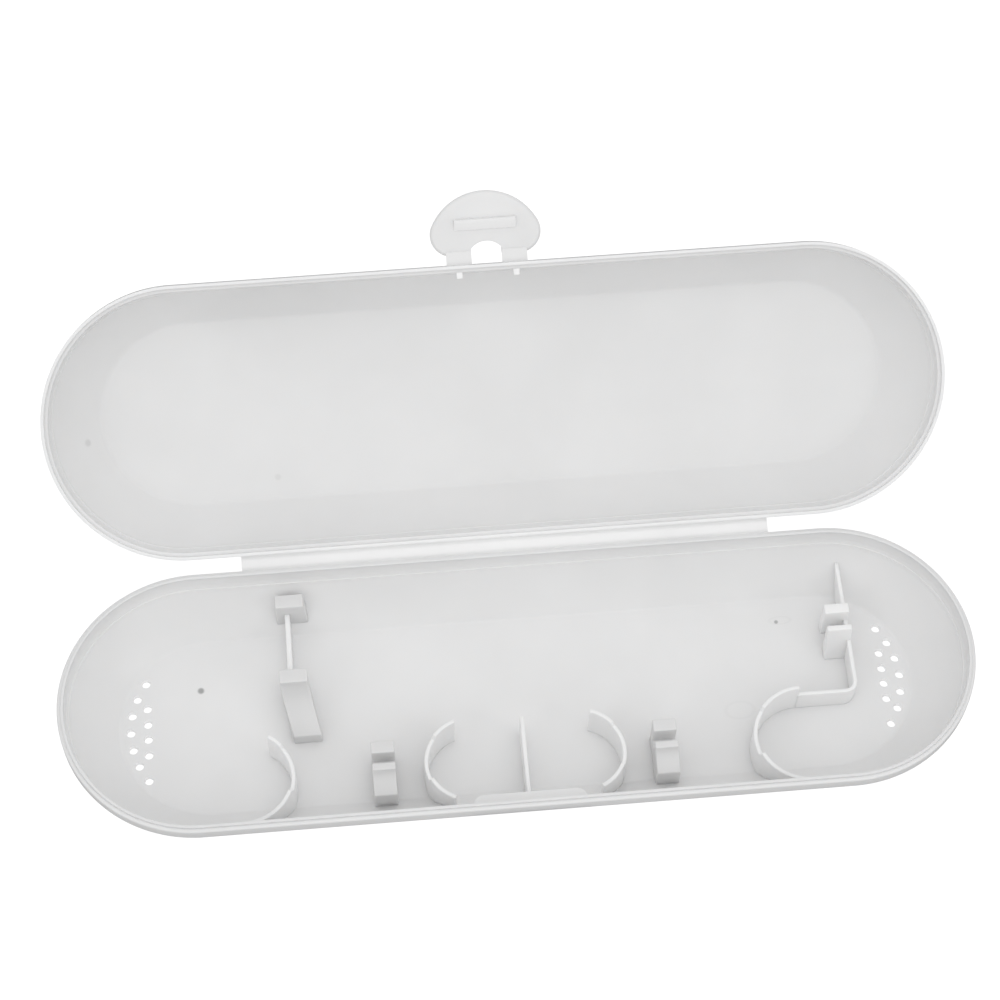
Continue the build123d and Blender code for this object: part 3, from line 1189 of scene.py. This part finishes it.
def fold_line(before, after, angle):
    """(y, z) points of a web that runs in along y, turns at 0, 0 and runs on."""
    end = (after * cos(angle), after * sin(angle))
    bend = rounded((-web_bend, 0), (0, 0), end, bend_steps)
    return [(-before, 0), (-before / 2, 0)] + bend


bent_web(
    "hinge_web_base", hinge_range, web_thickness, hinge_steps, first_fold,
    fold_line(rim_side, web_reach, half_lean),
    hinge_painted_light_material, [])
bent_web(
    "hinge_web_lid", hinge_range, web_thickness, hinge_steps, second_fold,
    fold_line(web_reach, rim_side, half_lean),
    hinge_painted_light_material, [])

strap_start = -latch_offset - web_overlap
strap_reach = strap_end() + strap_overlap - strap_start
strap_line = [
    (strap_start + strap_reach * step / strap_steps, 0) for step in range(strap_steps + 1)
]
for side, word in ((-1, "left"), (1, "right")):
    x_range = sorted((side * latch_strap_inner, side * latch_strap_outer))
    bent_web(
        f"latch_strap_{word}_dressed", x_range, latch_strap_thickness + strap_extra_thickness,
        strap_stations, latch_place, strap_line,
        strap_material, [f"latch_strap_{word}"])


# ---------------------------------------------------------------------------
# Camera, floor and light
# ---------------------------------------------------------------------------
camera_place = (-33.88, -260.65, 600.15)    # mm
camera_angles = (27.875, -0.616, -5.082)
focal_length = 99.88
sensor_width = 36.0

floor_reach = 3000
floor_tone = 0.15
horizon = (-0.4, 1.0)       # the sky's height between its darkest and brightest
nadir_light = 0.36
zenith_light = 0.94
light_lean = 20             # degrees by which the brightest sky leans to the front
lamps = (                   # name, place and aim in metres, diameter, power
    ("key_light", (0.15, -0.2, 1.3), (0, 0.03, 0), 0.8, 1.3),
    ("right_light", (1.04, -0.78, 0.72), (0, 0.05, 0.02), 0.5, 1.0),
    ("left_light", (-0.93, -0.83, 0.80), (0, 0.05, 0.02), 0.5, 1.0),
)

camera_data = bpy.data.cameras.new("camera")
camera_data.lens = focal_length
camera_data.sensor_width = sensor_width
camera_data.clip_start = 0.01
camera = bpy.data.objects.new("camera", camera_data)
camera.location = [value * MM for value in camera_place]
camera.rotation_euler = [radians(value) for value in camera_angles]
bpy.context.scene.collection.objects.link(camera)
bpy.context.scene.camera = camera


def studio_floor():
    """Large pale sheet that glows a little, like the top of a light table."""
    mesh_data = bmesh.new()
    bmesh.ops.create_grid(mesh_data, x_segments=8, y_segments=8, size=floor_reach)
    floor = new_piece("floor", mesh_data)
    floor.data.transform(Matrix.Scale(MM, 4))
    nodes = Nodes("floor_paper")
    fill(nodes.shader, {
        "Base Color": (floor_tone, floor_tone, floor_tone, 1),
        "Roughness": 0.9,
        "Specular IOR Level": 0.0,
        "Emission Color": (1, 1, 1, 1),
        "Emission Strength": 1.0,
    })
    floor.data.materials.append(nodes.material)
    floor.visible_diffuse = False
    floor.visible_glossy = False


def soft_box(name, place, aim, size, power):
    light_data = bpy.data.lights.new(name, "AREA")
    light_data.shape = "DISK"
    light_data.size = size
    light_data.energy = power
    light = bpy.data.objects.new(name, light_data)
    light.location = place
    light.rotation_euler = (Vector(aim) - Vector(place)).to_track_quat("-Z", "Y").to_euler()
    bpy.context.scene.collection.objects.link(light)


def studio_world():
    """Soft light from all round, brightest overhead and a little to the front."""
    world = bpy.data.worlds.new("studio")
    world.use_nodes = True
    tree = world.node_tree
    place = tree.nodes.new("ShaderNodeTexCoord")
    height = tree.nodes.new("ShaderNodeVectorMath")
    height.operation = "DOT_PRODUCT"
    lean = radians(light_lean)
    height.inputs[1].default_value = (0, -sin(lean), cos(lean))
    shade = tree.nodes.new("ShaderNodeMapRange")
    fill(shade, {
        "From Min": horizon[0],
        "From Max": horizon[1],
        "To Min": nadir_light,
        "To Max": zenith_light,
    })
    background = tree.nodes["Background"]
    tree.links.new(place.outputs["Generated"], height.inputs[0])
    tree.links.new(height.outputs["Value"], shade.inputs["Value"])
    tree.links.new(shade.outputs["Result"], background.inputs["Color"])
    background.inputs["Strength"].default_value = 1.0
    bpy.context.scene.world = world


studio_floor()
studio_world()
for lamp in lamps:
    soft_box(*lamp)
bpy.context.scene.view_settings.view_transform = "Standard"
